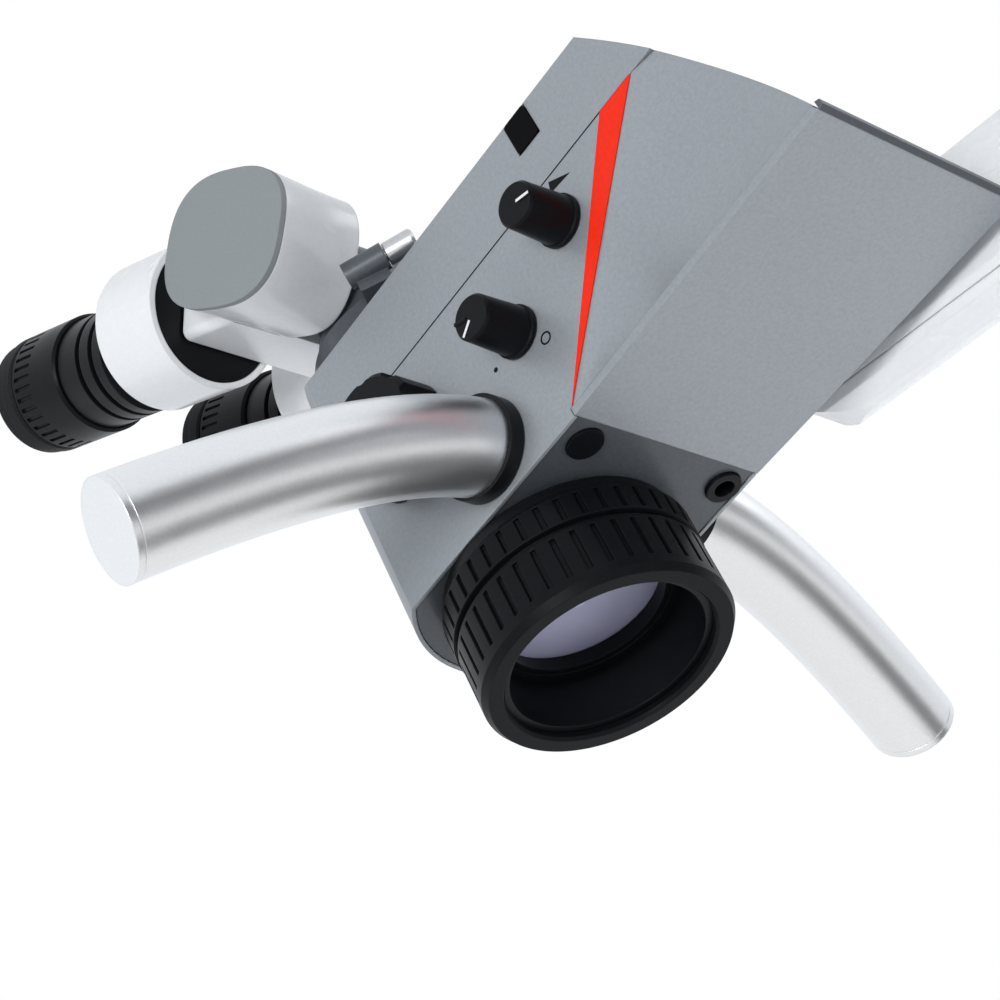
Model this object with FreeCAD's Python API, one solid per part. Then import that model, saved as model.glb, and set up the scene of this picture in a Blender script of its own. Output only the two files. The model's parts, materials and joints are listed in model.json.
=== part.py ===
import FreeCAD, Part
import math
import os

V = FreeCAD.Vector

# Sizes in millimetres. The head is drawn in its own frame: the optical axis is its Z,
# the eyepiece side is +Y, and z = 0 is the underside the objective hangs from.

# head body
head_half = 35.0
head_top = 93.0
nose_r = head_half + 8.5
rear_top_y = -103.0
rear_low_y = -149.2
rear_bulge = 3.6
past_rear = rear_low_y - 20.0
past_nose = nose_r + 10.0
past_side = head_half + 15.0
seam_z = 63.8
seam_gap = 0.2
wall = 3.0
panel_front_y = -47.7
panel_rear_half = head_half + 3.9
panel_thick = 2.6
plate_thick = 4.0
rim = 1.2
top_chamfer = 2.6
stripe_front_y = -99.4
stripe_rear_y = -113.0
stripe_in = 1.2
scoop_lean = 50.0
seat = 0.2
run_gap = 0.08
press_gap = 0.02
flank_in = head_half - 9.0
keep_front_y = -40.0
inner_half = head_half - wall - seat
cheek_thick = 7.3

# objective and focus ring
tube_r = head_half - 4.0
ring_r = tube_r + 5.75
ring_top = -4.5
ring_groove_top = -14.0
ring_groove_low = -15.6
ring_low = -35.5
cell_r = tube_r - 3.0
tube_bore = cell_r + 0.05
lens_r = cell_r - 2.5
lens_sag = 2.6
lens_edge = 7.3
lens_travel = 7.5
rib_count = 40

# small controls on the knob side
bright_at = (-72.9, 49.0)
filter_at = (-44.9, 35.2)
bright_pointing = 162.0
filter_pointing = -24.0
small_knob_r = 7.0
small_knob_len = 17.0
knob_stem_r = 2.2
window_at = (-77.0, head_top - 9.0)
window_half = (4.6, 6.2)
window_lip = 1.5
socket_at = (head_half - 8.5, -40.4)
socket_shift = 1.4
socket_r = 5.2

# magnification changer
changer_at = (3.3, 42.0)
changer_knob_r = 17.0
changer_lobes = 10
changer_shaft_r = 5.0
turret_r = 15.0
turret_half = head_half - 13.0

# handles
grip_at = (-19.0, 16.0)
grip_r = 13.4
collar_r = 14.6
pivot_collar_r = 14.4
spindle_r = 8.0
spindle_head_r = spindle_r + 1.4
grip_end = (156.0, 12.0, -22.0)
cap_thick = 2.2

# binocular tube
neck_y = 12.0
neck_r = head_half - 9.0
dovetail_r = head_half - 5.0
dovetail_top = head_top + 11.0
pivot_y = 11.0
pivot_z = head_top + 36.0
incline = 33.0
hinge_half = 27.0
hinge_r = 11.0
drum_in = 27.6
drum_well = drum_in + 8.4
drum_out = 59.5
drum_r = 21.0
cap_out = 61.5
drum_long = 27.5
drum_short = 21.0
drum_twist = 10.0
bridge_half = 46.0
bridge_out = 38.8
bridge_low = -17.0
bridge_high = 19.0
sleeve_x = 34.5
sleeve_b = -5.5
sleeve_r = 24.0
sleeve_in = 39.3
sleeve_out = 69.0
hub_r = 8.5
eye_dx = 3.0
eye_db = -6.4
eye_r = 19.6
eye_neck_r = eye_r - 1.4
ring_seat_r = eye_r - 4.6
eye_tube_r = ring_seat_r - 0.5
eye_barrel_r = ring_seat_r - 2.6
eye_bore = eye_tube_r - 3.5
groove_r = eye_neck_r - 1.8
cup_out = 129.5
cup_in = cup_out - 11.5
dioptre_out = cup_in - 0.4
dioptre_in = dioptre_out - 24.6

# arm, tilt pivot and mount
tilt_rest = 13.0
pivot_head = (-84.0, 24.3)
arm_x = head_half + 19.0
arm_half = 10.0
boss_r = 24.0
arm_high = 23.2
arm_reach = 200.0
arm_drop = 38.0
arm_seam_up = 5.5
arm_round = 8.0
window_count = 4
beam_window = 14.0
shaft_r = 9.0
spigot_r = 15.0
spigot_len = 40.0
flange_r = 24.0
flange_thick = 8.0
journal_r = 10.0
liner_r = journal_r + 5.4
nut_r = journal_r + 4.6


def box(x0, x1, y0, y1, z0, z1):
    return Part.makeBox(x1 - x0, y1 - y0, z1 - z0, V(x0, y0, z0))


def rod(axis, at, r, lo, hi):
    """Cylinder along x, y or z through the two other coordinates given in at."""
    if axis == "x":
        return Part.makeCylinder(r, hi - lo, V(lo, at[0], at[1]), V(1, 0, 0))
    if axis == "y":
        return Part.makeCylinder(r, hi - lo, V(at[0], lo, at[1]), V(0, 1, 0))
    return Part.makeCylinder(r, hi - lo, V(at[0], at[1], lo), V(0, 0, 1))


def tube(axis, at, outer, inner, lo, hi):
    return rod(axis, at, outer, lo, hi).cut(rod(axis, at, inner, lo - 1, hi + 1))


def flat_face(points):
    wire = Part.makePolygon([V(*p) for p in points] + [V(*points[0])])
    return Part.Face(wire)


def slab_x(points, x0, x1):
    return flat_face([(x0, y, z) for y, z in points]).extrude(V(x1 - x0, 0, 0))


def slab_y(points, y0, y1):
    return flat_face([(x, y0, z) for x, z in points]).extrude(V(0, y1 - y0, 0))


def slab_z(points, z0, z1):
    return flat_face([(x, y, z0) for x, y in points]).extrude(V(0, 0, z1 - z0))


def turned(points):
    """Solid of revolution about Z from (radius, height) points."""
    return flat_face([(r, 0, h) for r, h in points]).revolve(V(0, 0, 0), V(0, 0, 1), 360)


def aim(shape, origin, direction):
    """Carry a shape drawn about Z to an axis through origin along direction."""
    out = shape.copy()
    out.Placement = FreeCAD.Placement(V(*origin), FreeCAD.Rotation(V(0, 0, 1), V(*direction)))
    return out


def ribbed(count, high, low, z0, z1, share=0.62):
    """Prism with rectangular ribs round its edge."""
    step = 2 * math.pi / count
    points = []
    for i in range(count):
        a = i * step
        for r, t in ((high, 0.0), (high, share), (low, share + 0.08), (low, 0.92)):
            points.append((r * math.cos(a + t * step), r * math.sin(a + t * step)))
    return slab_z(points, z0, z1)


def joined(first, *others):
    out = first
    for s in others:
        out = out.fuse(s)
    return out.removeSplitter()


def less(first, *others):
    out = first
    for s in others:
        out = out.cut(s)
    return out


def mirrored(shape):
    return shape.mirror(V(0, 0, 0), V(1, 0, 0))


parts = {}
in_head = []
in_tilt = []


def head(name, shape):
    parts[name] = shape
    in_head.append(name)


def tilting(name, shape):
    parts[name] = shape
    in_tilt.append(name)


def arm(name, shape):
    parts[name] = shape


# Side view of the head: level top and underside, and a rear that leans and bulges a little.
def side_view(inset, half):
    low = rear_low_y + 1.12 * inset
    top = rear_top_y + 1.12 * inset
    middle = V(-half, (low + top) / 2 - rear_bulge * 0.9, head_top / 2 + rear_bulge * 0.45)
    bow = Part.Arc(V(-half, low, 0), middle, V(-half, top, head_top)).toShape()
    rest = Part.makePolygon([V(-half, top, head_top), V(-half, past_nose, head_top), V(-half, past_nose, -2),
                             V(-half, low, -2),
                             V(-half, low, 0)])
    return Part.Face(Part.Wire([bow] + rest.Edges)).extrude(V(2 * half, 0, 0))


# Head outline: straight sides and a front rounded about the optical axis.
def outline(inset, z0, z1):
    half = head_half - inset
    plan = box(-half, half, past_rear, 0, z0, z1).fuse(rod("z", (0, 0), nose_r - inset, z0, z1))
    return side_view(inset, half).common(plan)


def scoop(mirror):
    """Cone whose tip is the front corner of the rear panel. It hollows the rear flank."""
    up = V(0, stripe_rear_y - panel_front_y, seam_z)
    up.normalize()
    back = V(-(panel_rear_half - head_half), rear_low_y - panel_front_y, 0)
    back.normalize()
    mid = up + back
    mid.normalize()
    inward = up.cross(back)
    inward.normalize()
    if inward.x < 0:
        inward = inward * -1
    lean = math.radians(scoop_lean)
    axis = mid * math.cos(lean) - inward * math.sin(lean)
    half_angle = math.acos(axis.dot(up))
    length = 130.0
    cone = Part.makeCone(0, length * math.tan(half_angle), length, V(-head_half, panel_front_y, 0), axis)
    return mirrored(cone) if mirror else cone


lower_outer = outline(0, 0, seam_z - seam_gap / 2)
flare_top = seam_z - seam_gap / 2
flare_half = panel_rear_half + 2.1
flare = slab_x([(panel_front_y, 0), (past_rear, 0), (past_rear, flare_top), (stripe_rear_y, flare_top)],
               -flare_half, flare_half)
lower_outer = joined(lower_outer, flare.common(side_view(0, flare_half)))
for side in (False, True):
    lower_outer = lower_outer.cut(scoop(side))
hollow = outline(wall, -1, seam_z + 2)
for s in (-1, 1):
    keep = slab_x([(keep_front_y, -2), (keep_front_y - seam_z - 8.0, seam_z + 6.0), (past_rear, seam_z + 6.0),
                   (past_rear, -2)], 0, 20)
    keep.translate(V(flank_in if s > 0 else -flank_in - 20, 0, 0))
    hollow = hollow.cut(keep)
lower = lower_outer.cut(hollow)
ahead = box(-past_side, past_side, panel_front_y - 0.1, past_nose, -2, 10)
lower = lower.cut(box(-past_side, past_side, past_rear, panel_front_y + 0.3, -1, panel_thick + seat))
lower = lower.cut(outline(rim, -1, plate_thick + 0.01).common(ahead))

stripe = [(panel_front_y + 1.0, 1.0), (stripe_front_y, seam_z), (stripe_rear_y, seam_z)]
stripe_top = seam_z + 2
stripe_cut = slab_x([stripe[0], stripe[1], (stripe_front_y, stripe_top), (stripe_rear_y, stripe_top), stripe[2]],
                    -head_half - 2, stripe_in - head_half)
lower = lower.cut(stripe_cut).cut(mirrored(stripe_cut))
for at in (bright_at, filter_at):
    lower = lower.cut(rod("x", at, knob_stem_r + 0.5, -past_side, -20))
for s in (-1, 1):
    lo, hi = (-past_side, -20) if s < 0 else (20, past_side)
    lower = less(lower, rod("x", changer_at, changer_shaft_r + 0.5, lo, hi),
                 rod("x", grip_at, spindle_r + 0.5, lo, hi))
lower = lower.cut(rod("x", pivot_head, pivot_collar_r + 0.4, 20, past_side))
head("shell_lower", lower)

cover_outer = outline(0, seam_z + seam_gap / 2, head_top)
edge = slab_y([(-head_half, 0), (-head_half, head_top - top_chamfer), (-head_half + top_chamfer, head_top),
               (head_half - top_chamfer, head_top), (head_half, head_top - top_chamfer), (head_half, 0)],
              past_rear, past_nose)
cover = cover_outer.common(edge).cut(outline(wall, seam_z - 1, head_top - wall))
window_hole = box(-head_half - 1, -head_half + wall + 1,
                  window_at[0] - window_half[0], window_at[0] + window_half[0],
                  window_at[1] - window_half[1], window_at[1] + window_half[1])
cover = cover.cut(window_hole).cut(rod("z", (0, neck_y), 20.0, head_top - 10, head_top + 10))
head("cover_upper", cover)

pane = box(-head_half - 0.4, -head_half + wall + 0.8, window_at[0] - window_half[0] + seat,
           window_at[0] + window_half[0] - seat, window_at[1] - window_half[1] + seat,
           window_at[1] + window_half[1] - seat)
pane_lip = box(-head_half + wall, -head_half + wall + 0.8, window_at[0] - window_half[0] - window_lip,
               window_at[0] + window_half[0] + window_lip, window_at[1] - window_half[1] - window_lip,
               head_top - wall - seat)
pane = pane.makeFillet(1.2, [e for e in pane.Edges if abs(e.tangentAt(0).x) > 0.9])
head("status_window", joined(pane, pane_lip))

sides = [math.dist(stripe[1], stripe[2]), math.dist(stripe[0], stripe[2]), math.dist(stripe[0], stripe[1])]
centre = [sum(w * p[i] for w, p in zip(sides, stripe)) / sum(sides) for i in (0, 1)]
inlay = slab_x([(centre[0] + (p[0] - centre[0]) * 0.97, centre[1] + (p[1] - centre[1]) * 0.97) for p in stripe],
               -head_half - 0.25, stripe_in - head_half)
far_inlay = mirrored(inlay).cut(rod("x", pivot_head, pivot_collar_r + 0.6, 20, past_side))
head("side_stripes", Part.Compound([inlay, far_inlay]))

ahead_of_panel = box(-past_side, past_side, panel_front_y + seat, past_nose, 0, 10)
plate = outline(rim + seat, 0.3, plate_thick).common(ahead_of_panel)
plate = plate.cut(rod("z", (0, 0), tube_r + 0.6, -1, 10))
for s in (-1, 1):
    plate = plate.cut(rod("z", (s * socket_at[0] + socket_shift, socket_at[1]), socket_r + seat, -1, 10))
head("underside_plate", plate)

front_half = head_half + 0.1
panel = slab_z([(-front_half, panel_front_y), (-panel_rear_half, rear_low_y), (panel_rear_half, rear_low_y),
                (front_half, panel_front_y)], 0, panel_thick)
rear_slant = slab_x([(rear_low_y - 1, -0.1), (rear_low_y - 1, 3), (rear_low_y + 1.5, 3), (rear_low_y, -0.1)],
                    -past_side, past_side)
panel = panel.cut(rear_slant)
lip = slab_x([(rear_low_y - 0.1, -0.5), (rear_low_y - 1.6, 0.2), (rear_low_y - 1.6, 1.9),
              (rear_low_y - 0.1, 2.5)], -panel_rear_half, panel_rear_half)
head("rear_panel", panel)
head("rear_lip", lip)

# Frame inside the head: floor, two cheeks with bearings, and a block for the tilt shaft.
floor_plan = joined(box(-inner_half, inner_half, -45, past_nose, 0, 20),
                    box(0.3 - flank_in, flank_in - 0.3, -62, -44, 0, 20))
floor = outline(wall + seat, plate_thick, 9.0).common(floor_plan)
floor = floor.cut(rod("z", (0, 0), tube_r + 2.0, -1, 20))
for s in (-1, 1):
    floor = floor.cut(rod("z", (s * socket_at[0] + socket_shift, socket_at[1]), socket_r + 1.5, -1, 20))
frame_parts = [floor]
cheek = box(-inner_half, cheek_thick - inner_half, -31, 21, 8.9, 50)
cheek = cheek.cut(rod("z", (0, 0), cell_r + 0.8, 0, grip_at[1] - spindle_r))
frame_parts += [cheek, mirrored(cheek)]
frame = joined(*frame_parts)
behind_cheek = inner_half - cheek_thick + 0.05
frame = less(frame, rod("x", changer_at, changer_shaft_r + run_gap, -past_side, past_side),
             rod("x", grip_at, spindle_r + run_gap, -past_side, past_side),
             rod("x", grip_at, spindle_head_r + 0.4, -behind_cheek, behind_cheek))
board_rear = bright_at[0] - 11.1
board_front = filter_at[0] + 7.9
board_top = bright_at[1] + 9.0
knob_board = slab_x([(board_rear, board_top - 15.0), (board_rear, board_top), (board_front, board_top),
                     (board_front, 8.9), (board_front - 13.0, 8.9)], -inner_half, 2.4 - inner_half)
frame = joined(frame, knob_board)
for at in (bright_at, filter_at):
    frame = frame.cut(rod("x", at, knob_stem_r + run_gap, -past_side, -20))
head("head_frame", frame)

block = box(flank_in - 12.0, flank_in - seat, -104, -62.2, panel_thick + seat, 42)
block = joined(block, rod("x", pivot_head, 14.0, flank_in - 0.3, inner_half))
block = block.cut(rod("x", pivot_head, shaft_r + 0.3, 0, past_side))
head("pivot_block", block)

shaft = joined(rod("x", pivot_head, 13.0, flank_in - 16.0, flank_in - 12.0),
               rod("x", pivot_head, shaft_r, flank_in - 12.1, arm_x + 2.6),
               rod("x", pivot_head, 4.0, arm_x + 2.5, arm_x + 6.6))
head("tilt_shaft", shaft)
head("shaft_disc", tube("x", pivot_head, 11.4, 4.0 + press_gap, arm_x + 2.65, arm_x + 6.6))
collar_end = arm_x - arm_half - 0.4
head("pivot_collar", tube("x", pivot_head, pivot_collar_r, shaft_r + 0.3, inner_half + 0.1, collar_end))

led_side = 2.0 - flank_in
led = box(led_side, led_side + 30.0, -112, -84, panel_thick + seat, 46)
for i in range(6):
    led = led.cut(box(led_side - 1, led_side + 31.0, -110.5 + i * 4.2, -108.3 + i * 4.2, 22, 47))
led = led.fuse(rod("y", (-9.0, 16.0), 7.0, -84.1, -80.0))
head("light_source", led)
head("light_guide", rod("y", (-9.0, 16.0), 4.0, -79.9, -27.0))
prism = slab_x([(-26.8, 12.0), (-26.8, 21.0), (-18.0, 12.0)], -14.0, -4.0)
head("light_prism", prism)
holder = less(box(-16.5, -1.5, -34.5, -27.2, 9.0, 22.5), rod("y", (-9.0, 16.0), 4.2, -40, -20))
holder = joined(holder, box(-16.5, -14.2, -27.3, -21.0, 9.0, 20.0), box(-3.8, -1.5, -27.3, -21.0, 9.0, 20.0))
holder = holder.cut(rod("z", (0, 0), tube_r + 0.3, 0, 11.8)).cut(rod("z", (0, 0), cell_r + 1.0, 0, 11.9))
frame = frame.fuse(holder)
parts["head_frame"] = frame

# Objective: fixed tube, turning ring, sliding lens cell.
mount_tube = turned([(tube_bore, -32.6), (tube_r, -32.6), (tube_r, -4.3), (tube_r + 3.6, -4.3),
                     (tube_r + 3.6, -0.05), (tube_r + 2.5, -0.05), (tube_r + 2.5, 0.25), (tube_r + 0.2, 0.25),
                     (tube_r + 0.2, plate_thick), (tube_r + 0.85, plate_thick + 0.1),
                     (tube_r + 0.85, 6.5), (tube_bore, 6.5)])
head("objective_tube", mount_tube)

body = turned([(tube_r + run_gap, ring_top), (ring_r - 0.6, ring_top), (ring_r, ring_top - 0.8),
               (ring_r, ring_groove_top), (ring_r - 1.9, ring_groove_top - 0.4),
               (ring_r - 1.9, ring_groove_low), (ring_r - 0.4, ring_groove_low - 0.4),
               (ring_r - 0.4, ring_low + 2.2), (ring_r - 1.8, ring_low), (tube_r - 0.2, ring_low),
                (tube_r - 0.9, ring_low + 1.0),
               (tube_r - 0.9, ring_low + 2.6), (tube_r + run_gap, ring_low + 2.6)])
upper_band = ribbed(rib_count, ring_r + 1, ring_r - 1.1, ring_groove_top + 0.6, ring_top - 1.4)
lower_band = ribbed(rib_count, ring_r + 1, ring_r - 1.5, ring_low + 5.0, ring_groove_low - 1.6)
smooth = joined(rod("z", (0, 0), ring_r + 1, ring_low - 1, ring_low + 5.0),
                rod("z", (0, 0), ring_r + 1, ring_groove_low - 1.6, ring_groove_top + 0.6),
                rod("z", (0, 0), ring_r + 1, ring_top - 1.4, ring_top + 1), upper_band, lower_band)
head("focus_ring", body.common(smooth))

# At the top of its travel the cell still clears the heads of the handle spindles.
cell_top = grip_at[1] - spindle_head_r - lens_travel - 0.3
lens_top = cell_top - 1.8
lens_rim = lens_top - lens_edge
lens_tip = lens_rim - lens_sag
cell_low = lens_tip - 3.0
cell = turned([(lens_r + 0.1, cell_low), (cell_r, cell_low), (cell_r, cell_top), (lens_r - 3, cell_top),
               (lens_r - 3, lens_top + 0.1), (lens_r + 0.1, lens_top + 0.1)])
head("lens_cell", cell)
dome_r = (lens_r ** 2 + lens_sag ** 2) / (2 * lens_sag)
lens = rod("z", (0, 0), lens_r, lens_tip, lens_top).common(Part.makeSphere(dome_r, V(0, 0, dome_r + lens_tip)))
head("objective_lens", lens)
retainer = turned([(lens_r - 1.6, cell_low + 0.4), (lens_r, cell_low + 0.4), (lens_r, lens_rim - 0.4),
                   (lens_r - 1.0, lens_rim - 0.4)])
head("lens_retainer", retainer)

# Underside fittings.
sx, sy = socket_at
between_walls = box(-inner_half, inner_half, -45.8, 0, plate_thick - 0.01, 7)
plug = (socket_shift - sx, sy)
brim = rod("z", plug, socket_r + 1.2, plate_thick, 6.0).common(between_walls)
head("plug_disc", joined(rod("z", plug, socket_r, -0.5, plate_thick), brim))
cup_at = (socket_shift + sx, sy)
brim = rod("z", cup_at, socket_r + 1.2, plate_thick, 6.0).common(between_walls)
head("socket_cup", joined(tube("z", cup_at, socket_r, 3.0, -0.9, plate_thick), brim))

# Two small knobs with a pointer ridge.
def small_knob(at, pointing):
    r, n = small_knob_r, small_knob_len
    k = turned([(0, 0.4), (r + 0.5, 0.4), (r + 0.5, 1.6), (r, 1.8), (r - 0.5, n - 0.8), (r - 1.1, n), (0, n)])
    k = k.fuse(rod("z", (0, 0), knob_stem_r, -wall - 3.6, 0.5))
    pointer = box(-0.5, 0.5, r * 0.25, r - 0.9, n - 0.2, n + 0.35)
    pointer.rotate(V(0, 0, 0), V(0, 0, 1), pointing)
    k = joined(k, pointer)
    return aim(k, (-head_half, at[0], at[1]), (-1, 0, 0))


head("brightness_knob", small_knob(bright_at, bright_pointing))
head("filter_knob", small_knob(filter_at, filter_pointing))

# Magnification changer: one shaft, a turret with two pairs of bores, a lobed knob each side.
turret = rod("x", changer_at, turret_r, -turret_half, turret_half)
for s in (-1, 1):
    turret = turret.cut(rod("z", (s * 11.0, changer_at[0]), 7.0, 0, 80))
    turret = turret.cut(rod("y", (s * 11.0, changer_at[1]), 7.0, -40, 60))
turret = joined(turret, rod("x", changer_at, changer_shaft_r, -head_half - 12.0, -turret_half + 0.1),
                rod("x", changer_at, changer_shaft_r, turret_half - 0.1, head_half + 12.0))
head("changer_turret", turret)


def lobed_knob(r, lobes, thick, bore, depth):
    k = rod("z", (0, 0), r, 0, thick)
    pitch = 2 * math.pi / lobes
    for i in range(lobes):
        a = (i + 0.5) * pitch
        d = r + 1.7
        k = k.cut(rod("z", (d * math.cos(a), d * math.sin(a)), 3.6, -1, thick + 1))
    k = k.cut(turned([(r - 1.4, thick), (r + 2, thick - 3.4), (r + 2, thick + 1), (r - 1.4, thick + 1)]))
    return k.cut(rod("z", (0, 0), bore, -1, depth))


knob = aim(lobed_knob(changer_knob_r, changer_lobes, 13.0, changer_shaft_r + press_gap, 11.6),
           (-head_half - 0.4, changer_at[0], changer_at[1]), (-1, 0, 0))
head("changer_knob_left", knob)
head("changer_knob_right", mirrored(knob))


# Handles: spindle and collar, a grip swept along a curve, a flat cap on the slanted end.
def handle():
    y0, z0 = grip_at
    root = V(-head_half - 3.0, y0, z0)
    end = V(-grip_end[0], grip_end[1], grip_end[2])
    curve = Part.BezierCurve()
    curve.setPoles([root, root + V(-34, 1.0, -4.0), end + V(38, -14, 17), end])
    path = Part.Wire([curve.toShape()])
    section = Part.Wire([Part.makeCircle(grip_r, root, V(-34, 1.0, -4.0))])
    body = path.makePipeShell([section], True, True)
    heading = V(-38, 14, -17)
    heading.normalize()
    slant = V(-0.86, 0.45, -0.24)
    slant.normalize()
    cutter = Part.makeBox(80, 80, 60, V(-40, -40, 0))
    cutter.Placement = FreeCAD.Placement(end - heading * 9.0, FreeCAD.Rotation(V(0, 0, 1), slant))
    grip = body.cut(cutter).cut(box(-head_half - 4.95, 0, -80, 80, -80, 80))
    shift = slant * cap_thick
    cap_tool = Part.makeBox(80, 80, cap_thick, V(-40, -40, 0))
    cap_tool.Placement = FreeCAD.Placement(end - heading * 9.0 - shift, FreeCAD.Rotation(V(0, 0, 1), slant))
    cap = grip.common(cap_tool)
    grip = grip.cut(cap_tool)
    foot = joined(rod("x", grip_at, spindle_r, -head_half - 4.9, 2.5 - behind_cheek),
                  rod("x", grip_at, collar_r, -head_half - 4.9, -head_half - 0.4),
                  rod("x", grip_at, spindle_head_r, 0.15 - behind_cheek, 2.5 - behind_cheek))
    return grip, cap, foot


grip, cap, foot = handle()
for side in ("left", "right"):
    trio = (grip, cap, foot) if side == "left" else tuple(mirrored(s) for s in (grip, cap, foot))
    head("grip_" + side, trio[0])
    head("grip_cap_" + side, trio[1])
    head("grip_collar_" + side, trio[2])

# Binocular tube, fixed part.
dove = turned([(20.0, head_top), (dovetail_r - 2.5, head_top), (dovetail_r, head_top + 2.5),
               (dovetail_r, dovetail_top - 1.5), (dovetail_r - 1.5, dovetail_top), (20.0, dovetail_top)])
dove.translate(V(0, neck_y, 0))
screw_dir = V(0.5, -0.866, 0)
screw_mid = V(-31.0, -9.5, dovetail_top + 1.5)
screw_axis = (screw_dir.x, screw_dir.y, 0)
lug = aim(rod("z", (0, 0), 4.2, -7.0, 6.0), (screw_mid.x, screw_mid.y, screw_mid.z), screw_axis)
lug_hole = aim(rod("z", (0, 0), 2.1, -20, 30), (screw_mid.x, screw_mid.y, screw_mid.z), screw_axis)
bracket = slab_z([(-23.9, 1.6), (-18.1, -6.6), (-28.1, -13.6), (-33.9, -5.4)],
                 head_top + 4.5, dovetail_top - 0.8)
above_cover = box(-60, 60, -60, 60, head_top + 0.1, pivot_z)
dove = joined(dove, bracket, lug.common(above_cover)).cut(lug_hole)
head("dovetail_ring", dove)
clamp = turned([(0, -5.5), (2.0, -5.5), (2.0, 6.3), (3.4, 6.3), (3.6, 6.8), (3.6, 15.0), (2.8, 15.8),
                (0, 15.8)])
head("clamp_screw", aim(clamp, (screw_mid.x, screw_mid.y, screw_mid.z), screw_axis))

neck = joined(rod("z", (0, neck_y), neck_r, dovetail_top, dovetail_top + 6.8),
              rod("x", (pivot_y, pivot_z), hinge_r, -hinge_half + 0.4, hinge_half - 0.4),
              slab_x([(pivot_y - 13, dovetail_top), (pivot_y - 10.5, pivot_z), (pivot_y + 10.5, pivot_z),
                      (pivot_y + 11.5, dovetail_top)], -24, 24))
for s in (-1, 1):
    neck = neck.cut(rod("z", (s * 11.0, neck_y), 8.0, head_top, pivot_z))
neck = neck.cut(rod("x", (pivot_y, pivot_z), 6.0 + run_gap, -60, -21.0)).cut(
    rod("x", (pivot_y, pivot_z), 6.0 + run_gap, 21.0, 60))
head("hinge_block", neck)


# Binocular tube, tilting part, drawn with its local Z along the eyepieces.
def squircle(x, long_half, short_half, steps=28):
    pts = []
    twist = math.radians(drum_twist)
    for i in range(steps):
        t = 2 * math.pi * i / steps
        c, s = math.cos(t), math.sin(t)
        u = math.copysign(abs(c) ** 0.74, c) * long_half
        w = math.copysign(abs(s) ** 0.74, s) * short_half
        a = u * math.cos(twist) - w * math.sin(twist)
        b = u * math.sin(twist) + w * math.cos(twist)
        pts.append(V(x, -b, a))
    curve = Part.BSplineCurve()
    curve.interpolate(pts, PeriodicFlag=True)
    return Part.Wire([curve.toShape()])


def drum(grow=0.0):
    stations = []
    for k, blend in ((0.0, 0.0), (0.35, 0.16), (0.7, 0.62), (1.0, 1.0)):
        x = drum_in - 2 * grow + (drum_out + 2 * grow * 2 - drum_in) * k
        la = drum_r + grow + (drum_long - drum_r) * blend
        sh = drum_r + grow + (drum_short - drum_r) * blend
        stations.append(squircle(x, la, sh))
    return Part.makeLoft(stations, True, False)


def tilt_rod(x, b, r, a0, a1):
    return rod("z", (x, -b), r, a0, a1)


shell_drum = drum().cut(rod("x", (0, 0), 16.0, drum_well, drum_out + 1)).cut(rod("x", (0, 0), 6.2, 20, 40))
tilting("drum_right", shell_drum)
tilting("drum_left", mirrored(shell_drum))
face = Part.Face(squircle(drum_out + 0.05, drum_long, drum_short)).extrude(V(cap_out - drum_out - 0.05, 0, 0))
cap_r = face.fuse(rod("x", (0, 0), 15.8, drum_out - 2.5, drum_out + 0.1)).removeSplitter()
tilting("drum_caps", Part.Compound([cap_r, mirrored(cap_r)]))
pin = joined(rod("x", (0, 0), 6.0, hinge_half - 5.7, drum_well + 0.1),
             rod("x", (0, 0), 11.0, drum_well + 0.05, drum_well + 3.0))
tilting("pivot_pins", Part.Compound([pin, mirrored(pin)]))

bridge = box(-bridge_half, bridge_half, -bridge_high, -bridge_low, 6.0, bridge_out)
bridge = bridge.makeFillet(3.0, [e for e in bridge.Edges if abs(e.tangentAt(0).z) > 0.9])
grown = drum(0.25)
bridge = less(bridge, grown, mirrored(grown), rod("x", (0, 0), hinge_r + 2.2, -60, 60))
bridge = bridge.cut(box(-drum_in, drum_in, -30, 30, 0, hinge_r + 2.2))
for s in (-1, 1):
    bridge = bridge.cut(tilt_rod(s * sleeve_x, sleeve_b, hub_r + run_gap, 0, 60))
bridge = bridge.cut(box(-20, 20, -12, 8, 0, 36))
tilting("bridge_housing", bridge)


# Sleeves, each turning about its own axis with the eyepiece set off-centre.
def offset(shape, dx, db):
    out = shape.copy()
    out.translate(V(dx, -db, 0))
    return out


def both(name, shape):
    """Place a piece drawn about a sleeve axis on the right, and its mirror on the left."""
    right = offset(shape, sleeve_x, sleeve_b)
    tilting(name + "_right", right)
    tilting(name + "_left", mirrored(right))


sleeve = turned([(sleeve_r - 2.0, sleeve_in), (sleeve_r, sleeve_in), (sleeve_r, sleeve_out - 1.0),
                 (sleeve_r - 1.0, sleeve_out), (0, sleeve_out), (0, sleeve_out - 2.4),
                 (sleeve_r - 2.0, sleeve_out - 2.4)])
sleeve = sleeve.cut(rod("z", (eye_dx, -eye_db), eye_tube_r + 0.2, 50, 80))
both("sleeve", sleeve)
disc = turned([(6.5, bridge_out - 9), (hub_r, bridge_out - 9), (hub_r, sleeve_in + 0.4),
               (sleeve_r - 2.2, sleeve_in + 0.4),
               (sleeve_r - 2.2, sleeve_in + 2.8), (6.5, sleeve_in + 2.8)])
both("sleeve_plate", disc)

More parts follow.
